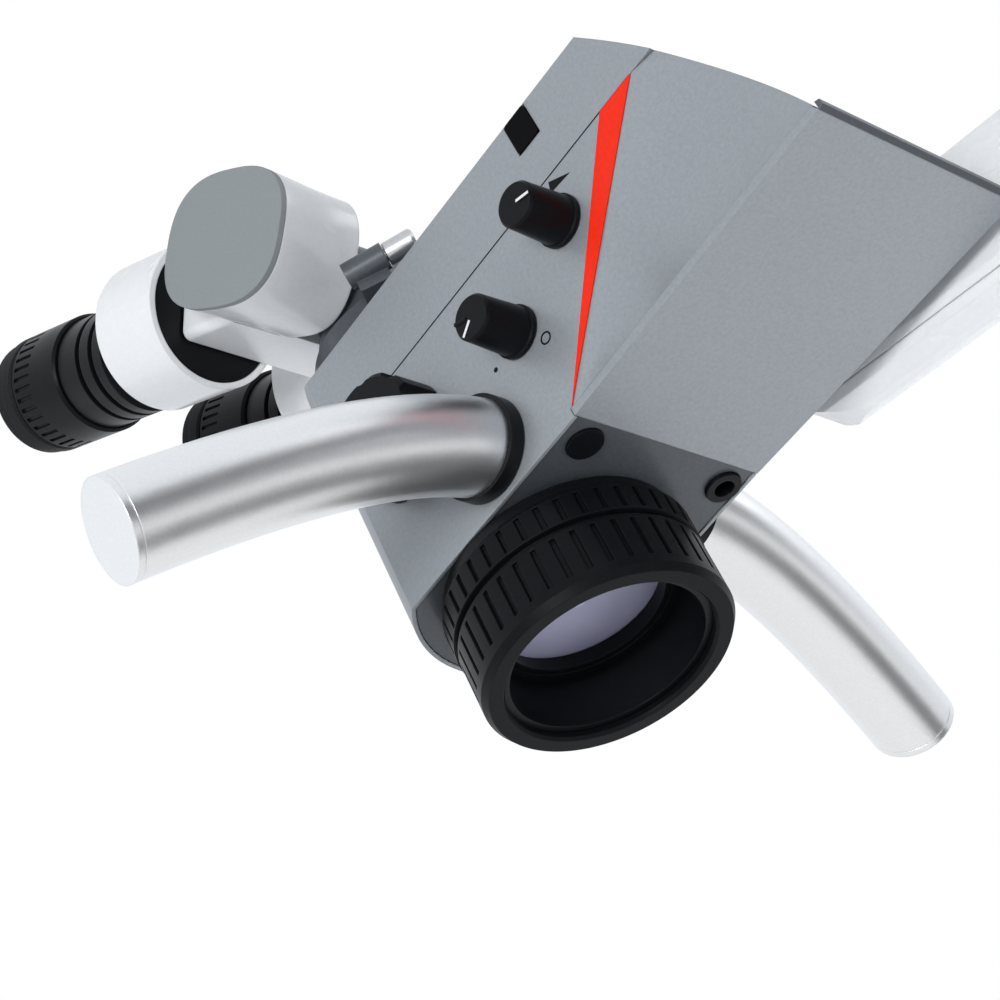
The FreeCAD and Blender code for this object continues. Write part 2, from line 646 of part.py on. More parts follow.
eye = turned([(eye_bore, 50.0), (eye_tube_r, 50.0), (eye_tube_r, sleeve_out + 0.1),
              (groove_r - 0.2, sleeve_out + 0.1), (groove_r - 0.2, 69.4), (eye_neck_r, 69.8),
              (eye_neck_r, 73.6), (groove_r, 74.0), (groove_r, 75.6), (eye_neck_r, 76.0),
              (eye_neck_r, 80.6), (groove_r, 81.0), (groove_r, 82.6), (eye_neck_r, 83.0),
              (eye_neck_r, dioptre_in - 0.6), (ring_seat_r, dioptre_in - 0.6), (ring_seat_r, cup_out - 8.0),
              (eye_barrel_r, cup_out - 8.0), (eye_barrel_r, cup_out - 2.6), (eye_bore, cup_out - 2.6)])
both("eyepiece_tube", offset(eye, eye_dx, eye_db))
ring_body = turned([(ring_seat_r + run_gap, dioptre_in), (eye_r - 0.8, dioptre_in), (eye_r, dioptre_in + 0.8),
                    (eye_r, dioptre_out - 1.0), (eye_r - 1.0, dioptre_out),
                    (ring_seat_r + run_gap, dioptre_out)])
grips = joined(ribbed(36, eye_r + 1, eye_r - 0.7, dioptre_in + 14.0, dioptre_out - 2.0, 0.5),
               rod("z", (0, 0), eye_r + 1, dioptre_in - 1, dioptre_in + 14.0),
               rod("z", (0, 0), eye_r + 1, dioptre_out - 2.0, dioptre_out + 1))
both("dioptre_ring", offset(ring_body.common(grips), eye_dx, eye_db))
cup = turned([(ring_seat_r + 0.1, cup_in), (eye_r - 0.6, cup_in), (eye_r, cup_in + 1.0), (eye_r, cup_in + 5.0),
              (eye_r - 0.7, cup_in + 6.0), (eye_r - 0.7, cup_out - 1.6), (eye_r - 2.0, cup_out),
              (eye_r - 4.4, cup_out - 0.6), (eye_r - 5.4, cup_out - 5.5), (ring_seat_r - 2.5, cup_out - 7.6),
              (ring_seat_r + 0.1, cup_out - 7.6)])
both("eyecup", offset(cup, eye_dx, eye_db))
glass = turned([(0, cup_out - 12.0), (eye_bore - 0.2, cup_out - 12.0), (eye_bore - 0.2, cup_out - 9.5),
                (eye_bore - 5.0, cup_out - 8.6), (0, cup_out - 8.3)])
both("eye_lens", offset(glass, eye_dx, eye_db))

tilt_place = FreeCAD.Placement(V(0, pivot_y, pivot_z), FreeCAD.Rotation(V(1, 0, 0), -(90.0 - incline)))
for name in in_tilt:
    parts[name] = parts[name].transformed(tilt_place.toMatrix(), True)
in_head.extend(in_tilt)

head_place = FreeCAD.Placement(V(-arm_x, arm_reach, -arm_drop), FreeCAD.Rotation(V(1, 0, 0), -tilt_rest))
head_place = head_place.multiply(FreeCAD.Placement(V(0, -pivot_head[0], -pivot_head[1]), FreeCAD.Rotation()))
for name in in_head:
    parts[name] = parts[name].transformed(head_place.toMatrix(), True)


# Arm, drawn in the shared frame. The origin is where the spigot leaves its flange.
def arm_outline(inset, z0, z1, c):
    half = arm_half - inset
    low = -arm_drop - arm_high + inset
    top = -arm_drop + arm_high - inset
    side = slab_x([(0, low), (arm_reach, low), (arm_reach, top), (0, top)], -half, half)
    side = side.fuse(rod("x", pivot_row, arm_high - inset, -half, half))
    edge = [(half - c, low), (half - 0.3 * c, low + 0.3 * c), (half, low + c), (half, top - 2), (half - 2, top)]
    bar = side.common(slab_y([(-x, z) for x, z in reversed(edge)] + edge, -5, arm_reach + 2 * arm_high))
    r = boss_r - inset
    boss = turned([(0, low), (r - c, low), (r - 0.3 * c, low + 0.3 * c), (r, low + c),
                   (r, top - 2), (r - 2, top), (0, top)])
    return joined(bar, boss).common(box(-2 * boss_r, 2 * boss_r, -2 * boss_r, arm_reach + 2 * arm_high, z0, z1))


pivot_row = (arm_reach, -arm_drop)
arm_top = -arm_drop + arm_high
arm_low = -arm_drop - arm_high
arm_seam = arm_low + arm_seam_up
arm_wall = 2.6
bush_r = 12.0
hub_top = -flange_thick - 0.4
core = arm_outline(arm_wall, arm_low - 1, 0, arm_round - 2)
upper = arm_outline(0, arm_seam + 0.1, arm_top + 1, arm_round).cut(core)
upper = less(upper, rod("z", (0, 0), boss_r - arm_wall + 0.1, -arm_drop, 0),
             rod("x", pivot_row, bush_r + seat, -past_side, 0))
arm("arm_upper", upper)
under = arm_outline(0, arm_low - 1, arm_seam - 0.1, arm_round).cut(core)
under = under.cut(rod("z", (0, 0), nut_r + 0.6, arm_low - 1, arm_low + 10))
arm("arm_lower", under)

beam = joined(arm_outline(arm_wall + seat, arm_low - 1, 0, arm_round - 2),
              rod("z", (0, 0), boss_r - arm_wall - seat, -arm_drop, hub_top))
first = boss_r + 11.0
pitch = (arm_reach - arm_high - first - 8.0) / window_count
for k in range(window_count):
    mid = first + (k + 0.5) * pitch
    half_len = pitch / 2 - 5.0
    beam = beam.cut(box(-boss_r, boss_r, mid - half_len, mid + half_len,
                        -arm_drop - beam_window, -arm_drop + beam_window))
beam = less(beam, rod("x", pivot_row, bush_r + 0.05, -40, 40), rod("z", (0, 0), liner_r + 0.1, arm_low - 1, 0))
arm("arm_beam", beam)
arm("tilt_bush", tube("x", pivot_row, bush_r, shaft_r + run_gap, -arm_half + 0.4, 2.5))
liner = joined(tube("z", (0, 0), liner_r, journal_r + run_gap, arm_low + 3.0, hub_top),
               tube("z", (0, 0), 20.0, journal_r + run_gap, hub_top, -flange_thick - 0.05))
arm("swivel_liner", liner)

spigot = joined(rod("z", (0, 0), spigot_r, -0.1, spigot_len - 1.5),
                turned([(0, spigot_len - 1.6), (spigot_r, spigot_len - 1.6), (spigot_r - 1.5, spigot_len),
                        (0, spigot_len)]),
                rod("z", (0, 0), flange_r, -flange_thick, 0),
                rod("z", (0, 0), journal_r, arm_low - 6.0, -flange_thick + 0.1))
arm("mount_spigot", spigot)
arm("swivel_nut", tube("z", (0, 0), nut_r, journal_r + press_gap, arm_low - 5.9, arm_low + 0.6))

os.makedirs("parts", exist_ok=True)
for old in os.listdir("parts"):
    if old.endswith(".step") and old[:-5] not in parts:
        os.remove(os.path.join("parts", old))
for name, shape in parts.items():
    if not shape.isValid() or not shape.Solids:
        print("check", name, shape.isValid(), len(shape.Solids))
    shape.exportStep("parts/" + name + ".step")
print(len(parts), "nodes")
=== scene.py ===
import json
import math

import bmesh
import bpy
from mathutils import Matrix, Vector


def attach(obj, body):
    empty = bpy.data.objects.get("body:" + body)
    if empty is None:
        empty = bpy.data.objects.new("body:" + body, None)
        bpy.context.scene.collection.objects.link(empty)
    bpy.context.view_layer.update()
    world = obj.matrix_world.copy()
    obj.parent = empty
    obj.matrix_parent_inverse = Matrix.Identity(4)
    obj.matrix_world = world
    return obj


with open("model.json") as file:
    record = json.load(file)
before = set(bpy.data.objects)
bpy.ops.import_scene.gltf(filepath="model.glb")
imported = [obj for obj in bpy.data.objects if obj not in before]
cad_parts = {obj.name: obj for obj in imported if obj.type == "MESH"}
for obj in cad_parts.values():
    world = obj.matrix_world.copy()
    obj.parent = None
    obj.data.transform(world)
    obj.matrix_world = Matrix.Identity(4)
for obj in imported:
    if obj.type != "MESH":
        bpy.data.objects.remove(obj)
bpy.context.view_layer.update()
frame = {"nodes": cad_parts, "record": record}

print("stage: frame loaded,", len(frame["nodes"]), "nodes")

mm = 0.001
joints = {j["name"]: j for j in frame["record"]["behaviour"]["joints"]}

# The head hangs from its tilt shaft. Its own frame has the optical axis as Z and the eyepieces at +Y.
headSeat = {
    "shaftInHead": (0.0, -84.0, 24.3),
    "headMiddle": -54.0,
    "halfWidth": 35.0,
}
opticalAxis = Vector(joints["focus_turn"]["axis"]).normalized()
headTilt = math.atan2(opticalAxis.y, opticalAxis.z)
shaftPlace = Vector(joints["head_tilt"]["pos_m"])
shaftPlace.x = headSeat["headMiddle"] * mm
headMatrix = (Matrix.Translation(shaftPlace) @ Matrix.Rotation(-headTilt, 4, "X")
              @ Matrix.Translation(-Vector(headSeat["shaftInHead"]) * mm) @ Matrix.Scale(mm, 4))


# Camera, floor and soft studio light, in metres

cameraLook = {
    "place": (-0.5119, -0.1034, -0.4073),
    "turn": (121.517, 12.727, -41.514),  # degrees
    "lens": 89.76,
    "sensor": 36,
    "nearest": 0.01,
}


def makeCamera(look):
    cam = bpy.data.objects.new("viewCamera", bpy.data.cameras.new("viewCamera"))
    bpy.context.collection.objects.link(cam)
    cam.location = look["place"]
    cam.rotation_euler = [math.radians(a) for a in look["turn"]]
    cam.data.lens = look["lens"]
    cam.data.sensor_width = look["sensor"]
    cam.data.clip_start = look["nearest"]
    bpy.context.scene.camera = cam


def makeObject(name, bm):
    mesh = bpy.data.meshes.new(name)
    bm.to_mesh(mesh)
    bm.free()
    obj = bpy.data.objects.new(name, mesh)
    bpy.context.collection.objects.link(obj)
    return obj


def aimedMatrix(place, target):
    way = Vector(target) - Vector(place)
    return Matrix.Translation(place) @ way.to_track_quat("-Z", "Y").to_matrix().to_4x4()


def makeBackground(tree, colour, strength):
    node = tree.nodes.new("ShaderNodeBackground")
    node.inputs["Color"].default_value = colour
    node.inputs["Strength"].default_value = strength
    return node


def mixShaders(tree, share, first, second):
    mix = tree.nodes.new("ShaderNodeMixShader")
    tree.links.new(share, mix.inputs["Fac"])
    tree.links.new(first.outputs[0], mix.inputs[1])
    tree.links.new(second.outputs[0], mix.inputs[2])
    return mix


def joinMath(tree, operation, first, second):
    node = tree.nodes.new("ShaderNodeMath")
    node.operation = operation
    for socket, value in zip(node.inputs, (first, second)):
        if isinstance(value, (int, float)):
            socket.default_value = value
        else:
            tree.links.new(value, socket)
    return node.outputs[0]


# One side of the sky is brighter. The camera and glass see it as plain white.
skyLook = {
    "colour": (0.93, 0.96, 1.0, 1),
    "brightFrom": (-0.45, 0.80, -0.30),
    "brightSpan": 0.8,
    "strength": (0.34, 0.56),  # away from the bright side, then towards it
    "glossStrength": (0.95, 1.0),
    "seenStrength": 1.0,
}


def makeWorld(look):
    world = bpy.data.worlds.new("studioWorld")
    bpy.context.scene.world = world
    world.use_nodes = True
    tree = world.node_tree
    tree.nodes.clear()
    rays = tree.nodes.new("ShaderNodeLightPath")
    seen = joinMath(tree, "MAXIMUM", rays.outputs["Is Camera Ray"], rays.outputs["Is Transmission Ray"])
    soft = makeBackground(tree, look["colour"], 1)
    gloss = makeBackground(tree, look["colour"], 1)
    way = tree.nodes.new("ShaderNodeTexCoord")
    toward = tree.nodes.new("ShaderNodeVectorMath")
    toward.operation = "DOT_PRODUCT"
    toward.inputs[1].default_value = Vector(look["brightFrom"]).normalized()
    tree.links.new(way.outputs["Generated"], toward.inputs[0])
    for shade, (low, high) in ((soft, look["strength"]), (gloss, look["glossStrength"])):
        level = tree.nodes.new("ShaderNodeMapRange")
        level.inputs["From Min"].default_value = -look["brightSpan"]
        level.inputs["From Max"].default_value = look["brightSpan"]
        level.inputs["To Min"].default_value = low
        level.inputs["To Max"].default_value = high
        tree.links.new(toward.outputs["Value"], level.inputs["Value"])
        tree.links.new(level.outputs["Result"], shade.inputs["Strength"])
    white = makeBackground(tree, (1, 1, 1, 1), look["seenStrength"])
    shiny = mixShaders(tree, rays.outputs["Is Glossy Ray"], soft, gloss)
    shown = mixShaders(tree, seen, shiny, white)
    out = tree.nodes.new("ShaderNodeOutputWorld")
    tree.links.new(shown.outputs[0], out.inputs["Surface"])


floorLook = {
    "middle": (0, 0.2, -0.62),
    "size": 9.0,
    "colour": (0.80, 0.81, 0.82, 1),
    "rough": 0.8,
    "shownWhite": 0.8,  # share of plain white that the camera, metal and glass see on it
}


def makeFloor(look):
    bm = bmesh.new()
    bmesh.ops.create_grid(bm, x_segments=1, y_segments=1, size=look["size"] / 2)
    bmesh.ops.translate(bm, vec=look["middle"], verts=bm.verts)
    floor = makeObject("studioFloor", bm)
    paint = bpy.data.materials.new("floorPaint")
    paint.use_nodes = True
    tree = paint.node_tree
    shader = tree.nodes["Principled BSDF"]
    shader.inputs["Base Color"].default_value = look["colour"]
    shader.inputs["Roughness"].default_value = look["rough"]
    rays = tree.nodes.new("ShaderNodeLightPath")
    shownTo = rays.outputs["Is Camera Ray"]
    for kind in ("Is Glossy Ray", "Is Transmission Ray"):
        shownTo = joinMath(tree, "MAXIMUM", shownTo, rays.outputs[kind])
    share = joinMath(tree, "MULTIPLY", shownTo, look["shownWhite"])
    white = tree.nodes.new("ShaderNodeEmission")
    mix = mixShaders(tree, share, shader, white)
    tree.links.new(mix.outputs[0], tree.nodes["Material Output"].inputs["Surface"])
    paint.cycles.emission_sampling = "NONE"
    floor.data.materials.append(paint)


studioAim = (-0.05, 0.27, -0.02)  # what the cards and lamps face

# Dark cards that only reflections see. They give the grips their dark bands.
flagLook = {
    "colour": (0.02, 0.02, 0.025, 1),
    "cards": {
        "rearFlag": {"place": (0.06, -0.68, 0.13), "size": (2.0, 0.62)},
        "lowFlag": {"place": (0.42, -0.08, -0.52), "size": (0.46, 0.46)},
    },
}


def makeFlags(look):
    cloth = bpy.data.materials.new("flagCloth")
    cloth.use_nodes = True
    cloth.node_tree.nodes["Principled BSDF"].inputs["Base Color"].default_value = look["colour"]
    for name, card in look["cards"].items():
        bm = bmesh.new()
        bmesh.ops.create_grid(bm, x_segments=1, y_segments=1, size=0.5)
        bmesh.ops.scale(bm, vec=(*card["size"], 1), verts=bm.verts)
        bmesh.ops.transform(bm, matrix=aimedMatrix(card["place"], studioAim), verts=bm.verts)
        flag = makeObject(name, bm)
        flag.data.materials.append(cloth)
        flag.visible_camera = False
        flag.visible_diffuse = False
        flag.visible_shadow = False


lampLook = {
    "keyLamp": {"place": (-1.62, -0.25, -0.36), "size": 0.5, "watts": 14, "mirrored": True},
    "fillLamp": {"place": (-0.5, 1.2, -0.45), "size": 0.8, "watts": 0.8, "mirrored": True},
    "underLamp": {"place": (0.5, 0.0, -0.56), "size": 0.7, "watts": 6, "mirrored": False},
    "rimLamp": {"place": (1.0, -0.9, 0.9), "size": 0.9, "watts": 5, "mirrored": True},
}


def makeLamps(look):
    for name, lamp in look.items():
        light = bpy.data.lights.new(name, "AREA")
        light.shape = "SQUARE"
        light.size = lamp["size"]
        light.energy = lamp["watts"]
        obj = bpy.data.objects.new(name, light)
        obj.matrix_world = aimedMatrix(lamp["place"], studioAim)
        obj.visible_glossy = lamp["mirrored"]
        bpy.context.collection.objects.link(obj)


makeCamera(cameraLook)
makeWorld(skyLook)
makeFloor(floorLook)
makeFlags(flagLook)
makeLamps(lampLook)
bpy.context.scene.view_settings.view_transform = "Standard"
print("stage: camera and studio")


# Shader groups that several finishes share

def newGroup(name, ins, outs):
    group = bpy.data.node_groups.new(name, "ShaderNodeTree")
    for label, kind, value in ins:
        socket = group.interface.new_socket(name=label, in_out="INPUT", socket_type=kind)
        if value is not None:
            socket.default_value = value
    for label, kind in outs:
        group.interface.new_socket(name=label, in_out="OUTPUT", socket_type=kind)
    return group, group.nodes.new("NodeGroupInput"), group.nodes.new("NodeGroupOutput")


# Cloudy grain with finer flecks in it
grainLook = {"detail": 4.0, "rough": 0.6, "fleckScale": 4.3, "fleckShare": 0.45, "span": (0.4, 1.0)}


def makeFineGrain(look):
    group, given, result = newGroup(
        "fineGrain",
        [("Vector", "NodeSocketVector", None), ("Scale", "NodeSocketFloat", 400.0)],
        [("Tint", "NodeSocketFloat"), ("Height", "NodeSocketFloat")])
    links = group.links
    coarse = group.nodes.new("ShaderNodeTexNoise")
    coarse.inputs["Detail"].default_value = look["detail"]
    coarse.inputs["Roughness"].default_value = look["rough"]
    links.new(given.outputs["Vector"], coarse.inputs["Vector"])
    links.new(given.outputs["Scale"], coarse.inputs["Scale"])
    finer = joinMath(group, "MULTIPLY", given.outputs["Scale"], look["fleckScale"])
    fleck = group.nodes.new("ShaderNodeTexVoronoi")
    links.new(given.outputs["Vector"], fleck.inputs["Vector"])
    links.new(finer, fleck.inputs["Scale"])
    blend = group.nodes.new("ShaderNodeMath")
    blend.operation = "MULTIPLY_ADD"
    blend.inputs[1].default_value = look["fleckShare"]
    links.new(fleck.outputs["Distance"], blend.inputs[0])
    links.new(coarse.outputs["Fac"], blend.inputs[2])
    tint = group.nodes.new("ShaderNodeMapRange")
    tint.inputs["From Min"].default_value, tint.inputs["From Max"].default_value = look["span"]
    links.new(blend.outputs[0], tint.inputs["Value"])
    links.new(tint.outputs["Result"], result.inputs["Tint"])
    links.new(blend.outputs[0], result.inputs["Height"])
    return group


# Broad, faint clouds that vary the roughness, as handling does
handLook = {"scale": 28.0, "detail": 5.0, "distortion": 0.6, "span": (0.3, 0.7)}


def makeHandMarks(look):
    group, given, result = newGroup(
        "handMarks",
        [("Vector", "NodeSocketVector", None),
         ("Low", "NodeSocketFloat", 0.3), ("High", "NodeSocketFloat", 0.5)],
        [("Rough", "NodeSocketFloat")])
    links = group.links
    cloud = group.nodes.new("ShaderNodeTexNoise")
    cloud.inputs["Scale"].default_value = look["scale"]
    cloud.inputs["Detail"].default_value = look["detail"]
    cloud.inputs["Distortion"].default_value = look["distortion"]
    links.new(given.outputs["Vector"], cloud.inputs["Vector"])
    spread = group.nodes.new("ShaderNodeMapRange")
    spread.inputs["From Min"].default_value, spread.inputs["From Max"].default_value = look["span"]
    links.new(cloud.outputs["Fac"], spread.inputs["Value"])
    links.new(given.outputs["Low"], spread.inputs["To Min"])
    links.new(given.outputs["High"], spread.inputs["To Max"])
    links.new(spread.outputs["Result"], result.inputs["Rough"])
    return group


# The mask is 1 where the rounded normal has left the flat one, which is at the edges. The finishes
# lighten the colour there as a painted highlight
edgeLook = {"samples": 4, "flat": 0.995, "sharp": 0.86}


def makeRoundedEdgeHighlight(look):
    group, given, result = newGroup(
        "roundedEdgeHighlight", [("Radius", "NodeSocketFloat", 0.0004)],
        [("Mask", "NodeSocketFloat"), ("Normal", "NodeSocketVector")])
    links = group.links
    rounded = group.nodes.new("ShaderNodeBevel")
    rounded.samples = look["samples"]
    links.new(given.outputs["Radius"], rounded.inputs["Radius"])
    surface = group.nodes.new("ShaderNodeNewGeometry")
    turn = group.nodes.new("ShaderNodeVectorMath")
    turn.operation = "DOT_PRODUCT"
    links.new(rounded.outputs["Normal"], turn.inputs[0])
    links.new(surface.outputs["Normal"], turn.inputs[1])
    mask = group.nodes.new("ShaderNodeMapRange")
    mask.inputs["From Min"].default_value = look["flat"]
    mask.inputs["From Max"].default_value = look["sharp"]
    links.new(turn.outputs["Value"], mask.inputs["Value"])
    links.new(mask.outputs["Result"], result.inputs["Mask"])
    links.new(rounded.outputs["Normal"], result.inputs["Normal"])
    return group


fineGrain = makeFineGrain(grainLook)
handMarks = makeHandMarks(handLook)
roundedEdgeHighlight = makeRoundedEdgeHighlight(edgeLook)
print("stage: shader groups")

# "dark" is the share of the colour in the darkest grain, "grain" the scale of it, "rough" the span
# of roughness, "edge" how far the painted edge highlight lightens the colour and "radius" how wide it
# is, in metres
finishes = {
    "silver_paint": {
        "colour": (0.315, 0.34, 0.365), "dark": 0.9, "grain": 900, "bump": 0.05,
        "rough": (0.38, 0.44), "shine": 0.35, "metal": 0.3, "coat": 0.0,
        "edge": 0.3, "radius": 0.0006,
    },
    "dark_paint": {
        "colour": (0.085, 0.095, 0.108), "dark": 0.86, "grain": 900, "bump": 0.06,
        "rough": (0.34, 0.46), "shine": 0.3, "metal": 0.3, "coat": 0.2,
        "edge": 0.3, "radius": 0.0005,
    },
    "white_paint": {
        "colour": (0.9, 0.91, 0.925), "dark": 0.97, "grain": 600, "bump": 0.03,
        "rough": (0.2, 0.3), "shine": 0.5, "metal": 0.0, "coat": 0.3,
        "edge": 0.25, "radius": 0.0008,
    },
    "cap_grey": {
        "colour": (0.27, 0.295, 0.305), "dark": 0.94, "grain": 1500, "bump": 0.1,
        "rough": (0.5, 0.62), "shine": 0.3, "metal": 0.0, "coat": 0.0,
        "edge": 0.25, "radius": 0.0006,
    },
    "satin_metal": {
        "colour": (0.86, 0.87, 0.88), "dark": 0.95, "grain": 1300, "bump": 0.04,
        "rough": (0.33, 0.37), "shine": 0.5, "metal": 1.0, "coat": 0.0,
        "edge": 0.2, "radius": 0.0006,
    },
    "black_plastic": {
        "colour": (0.005, 0.0055, 0.007), "dark": 0.7, "grain": 1400, "bump": 0.14,
        "rough": (0.28, 0.42), "shine": 0.09, "metal": 0.0, "coat": 0.0,
        "edge": 0.1, "radius": 0.0004,
    },
    "black_metal": {
        "colour": (0.005, 0.0055, 0.007), "dark": 0.75, "grain": 1200, "bump": 0.06,
        "rough": (0.3, 0.4), "shine": 0.15, "metal": 0.0, "coat": 0.0,
        "edge": 0.14, "radius": 0.0004,
    },
    "eyecup_rubber": {
        "colour": (0.012, 0.0125, 0.014), "dark": 0.7, "grain": 1000, "bump": 0.16,
        "rough": (0.5, 0.66), "shine": 0.1, "metal": 0.0, "coat": 0.0,
        "edge": 0.06, "radius": 0.0005,
    },
    "stripe_red": {
        "colour": (0.93, 0.03, 0.01), "dark": 0.93, "grain": 800, "bump": 0.02,
        "rough": (0.45, 0.55), "shine": 0.12, "metal": 0.0, "coat": 0.0,
        "edge": 0.1, "radius": 0.0003,
    },
    "window_black": {
        "colour": (0.003, 0.003, 0.004), "dark": 0.8, "grain": 700, "bump": 0.01,
        "rough": (0.25, 0.35), "shine": 0.03, "metal": 0.0, "coat": 0.0,
        "edge": 0.1, "radius": 0.0003,
    },
    "guide_acrylic": {
        "colour": (0.8, 0.83, 0.86), "dark": 0.95, "grain": 500, "bump": 0.01,
        "rough": (0.06, 0.12), "shine": 0.5, "metal": 0.0, "coat": 0.3,
        "edge": 0.1, "radius": 0.0003,
    },
    "steel": {
        "colour": (0.56, 0.57, 0.58), "dark": 0.85, "grain": 1100, "bump": 0.08,
        "rough": (0.22, 0.34), "shine": 0.5, "metal": 1.0, "coat": 0.0,
        "edge": 0.3, "radius": 0.0003,
    },
    "cast_metal": {
        "colour": (0.46, 0.47, 0.48), "dark": 0.8, "grain": 700, "bump": 0.25,
        "rough": (0.45, 0.6), "shine": 0.5, "metal": 0.9, "coat": 0.0,
        "edge": 0.25, "radius": 0.0004,
    },
    "bearing_brass": {
        "colour": (0.66, 0.46, 0.18), "dark": 0.85, "grain": 1000, "bump": 0.06,
        "rough": (0.25, 0.36), "shine": 0.5, "metal": 1.0, "coat": 0.0,
        "edge": 0.3, "radius": 0.0003,
    },
    "mark_white": {
        "colour": (0.86, 0.87, 0.88), "dark": 0.96, "grain": 900, "bump": 0.02,
        "rough": (0.4, 0.5), "shine": 0.2, "metal": 0.0, "coat": 0.0,
        "edge": 0.0, "radius": 0.0002,
    },
    "mark_black": {
        "colour": (0.004, 0.004, 0.005), "dark": 0.8, "grain": 900, "bump": 0.02,
        "rough": (0.4, 0.5), "shine": 0.1, "metal": 0.0, "coat": 0.0,
        "edge": 0.0, "radius": 0.0002,
    },
}


# What all finishes share: the coat, how the painted edge highlight lightens the colour, and the depth of
# the bump in metres
sharedLook = {"coatRough": 0.12, "highlightGain": 1.6, "highlightLift": 0.05, "bumpDepth": 0.0002}


def placeGroup(tree, group, values):
    node = tree.nodes.new("ShaderNodeGroup")
    node.node_tree = group
    for label, value in values.items():
        node.inputs[label].default_value = value
    return node


def makeFinish(name, look):
    mat = bpy.data.materials.new(name)
    mat.use_nodes = True
    tree = mat.node_tree
    shader = tree.nodes["Principled BSDF"]
    shader.inputs["Metallic"].default_value = look["metal"]
    shader.inputs["Coat Weight"].default_value = look["coat"]
    shader.inputs["Coat Roughness"].default_value = sharedLook["coatRough"]
    shader.inputs["Specular IOR Level"].default_value = look["shine"]
    place = tree.nodes.new("ShaderNodeTexCoord")
    grain = placeGroup(tree, fineGrain, {"Scale": look["grain"]})
    tree.links.new(place.outputs["Object"], grain.inputs["Vector"])
    marks = placeGroup(tree, handMarks, {"Low": look["rough"][0], "High": look["rough"][1]})
    tree.links.new(place.outputs["Object"], marks.inputs["Vector"])
    tree.links.new(marks.outputs["Rough"], shader.inputs["Roughness"])
    edge = placeGroup(tree, roundedEdgeHighlight, {"Radius": look["radius"]})
    tone = tree.nodes.new("ShaderNodeMix")
    tone.data_type = "RGBA"
    base = look["colour"]
    tone.inputs["A"].default_value = [c * look["dark"] for c in base] + [1]
    tone.inputs["B"].default_value = [min(c * (2 - look["dark"]), 1) for c in base] + [1]
    tree.links.new(grain.outputs["Tint"], tone.inputs["Factor"])
    # Painted highlight: the colour is lightened along the edges where the mask is 1
    paintedHighlight = tree.nodes.new("ShaderNodeMix")
    paintedHighlight.data_type = "RGBA"
    lighter = [min(c * sharedLook["highlightGain"] + sharedLook["highlightLift"], 1) for c in base]
    paintedHighlight.inputs["B"].default_value = lighter + [1]
    share = joinMath(tree, "MULTIPLY", edge.outputs["Mask"], look["edge"])
    tree.links.new(share, paintedHighlight.inputs["Factor"])
    tree.links.new(tone.outputs["Result"], paintedHighlight.inputs["A"])
    tree.links.new(paintedHighlight.outputs["Result"], shader.inputs["Base Color"])
    bump = tree.nodes.new("ShaderNodeBump")
    bump.inputs["Strength"].default_value = look["bump"]
    bump.inputs["Distance"].default_value = sharedLook["bumpDepth"]
    tree.links.new(grain.outputs["Height"], bump.inputs["Height"])
    tree.links.new(edge.outputs["Normal"], bump.inputs["Normal"])
    tree.links.new(bump.outputs["Normal"], shader.inputs["Normal"])
    return mat


# The violet hue is the coating's tint. The paleness of the base colour is painted glare, since the glass
# passes little light
lensLook = {
    "colour": (0.80, 0.80, 0.95),
    "rim": (0.55, 0.53, 0.85),
    "rough": 0.04,
    "metal": 0.0,
    "transmission": 0.12,
    "bend": 1.52,
    "coat": 1.0,
    "coatRough": 0.02,
}


def makeCoatedGlass(look):
    mat = bpy.data.materials.new("coatedGlass")
    mat.use_nodes = True
    tree = mat.node_tree
    shader = tree.nodes["Principled BSDF"]
    shader.inputs["Metallic"].default_value = look["metal"]
    shader.inputs["Transmission Weight"].default_value = look["transmission"]
    shader.inputs["Roughness"].default_value = look["rough"]
    shader.inputs["IOR"].default_value = look["bend"]
    shader.inputs["Coat Weight"].default_value = look["coat"]
    shader.inputs["Coat Roughness"].default_value = look["coatRough"]
    place = tree.nodes.new("ShaderNodeTexCoord")
    cloud = placeGroup(tree, handMarks, {"Low": 0.0, "High": 1.0})
    tree.links.new(place.outputs["Object"], cloud.inputs["Vector"])
    # Painted glare: the pale base colour, varied in clouds
    tone = tree.nodes.new("ShaderNodeMix")
    tone.data_type = "RGBA"
    tone.inputs["A"].default_value = (*look["rim"], 1)
    tone.inputs["B"].default_value = (*look["colour"], 1)
    tree.links.new(cloud.outputs["Rough"], tone.inputs["Factor"])
    tree.links.new(tone.outputs["Result"], shader.inputs["Base Color"])
    return mat


materials = {name: makeFinish(name, look) for name, look in finishes.items()}
materials["lens_glass"] = makeCoatedGlass(lensLook)

for entry in frame["record"]["subparts"]:
    node = frame["nodes"][entry["node"]]
    for slot in node.material_slots:
        slot.material = materials[entry["material_slot"]]


# Printed marks, the seam's painted shadow line and the knobs' pointer lines, in millimetres of the
# head's frame.
# "at" is a place on the near side wall, along the head and up, and "lift" keeps a piece clear of it.

# A flat shape's X goes along the head, its Y up and its Z out of the wall. That mirrors the shape,
# so finishPiece turns the faces out again.
def toSide(bm, at, lift):
    turn = Matrix(((0, 0, -1, 0), (1, 0, 0, 0), (0, 1, 0, 0), (0, 0, 0, 1)))
    seat = Matrix.Translation((-headSeat["halfWidth"] - lift, at[0], at[1]))
    bmesh.ops.transform(bm, matrix=headMatrix @ seat @ turn, verts=bm.verts)


def turnFlat(bm, degrees):
    turn = Matrix.Rotation(math.radians(degrees), 3, "Z")
    bmesh.ops.rotate(bm, cent=(0, 0, 0), matrix=turn, verts=bm.verts)


def finishPiece(name, bm, body, finish):
    bmesh.ops.recalc_face_normals(bm, faces=bm.faces)
    obj = makeObject(name, bm)
    obj.data.materials.append(materials[finish])
    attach(obj, body)


ringLook = {"at": (-51.5, 25.9), "radius": 1.9, "line": 0.5, "segments": 40, "thick": 0.06, "lift": 0.06}


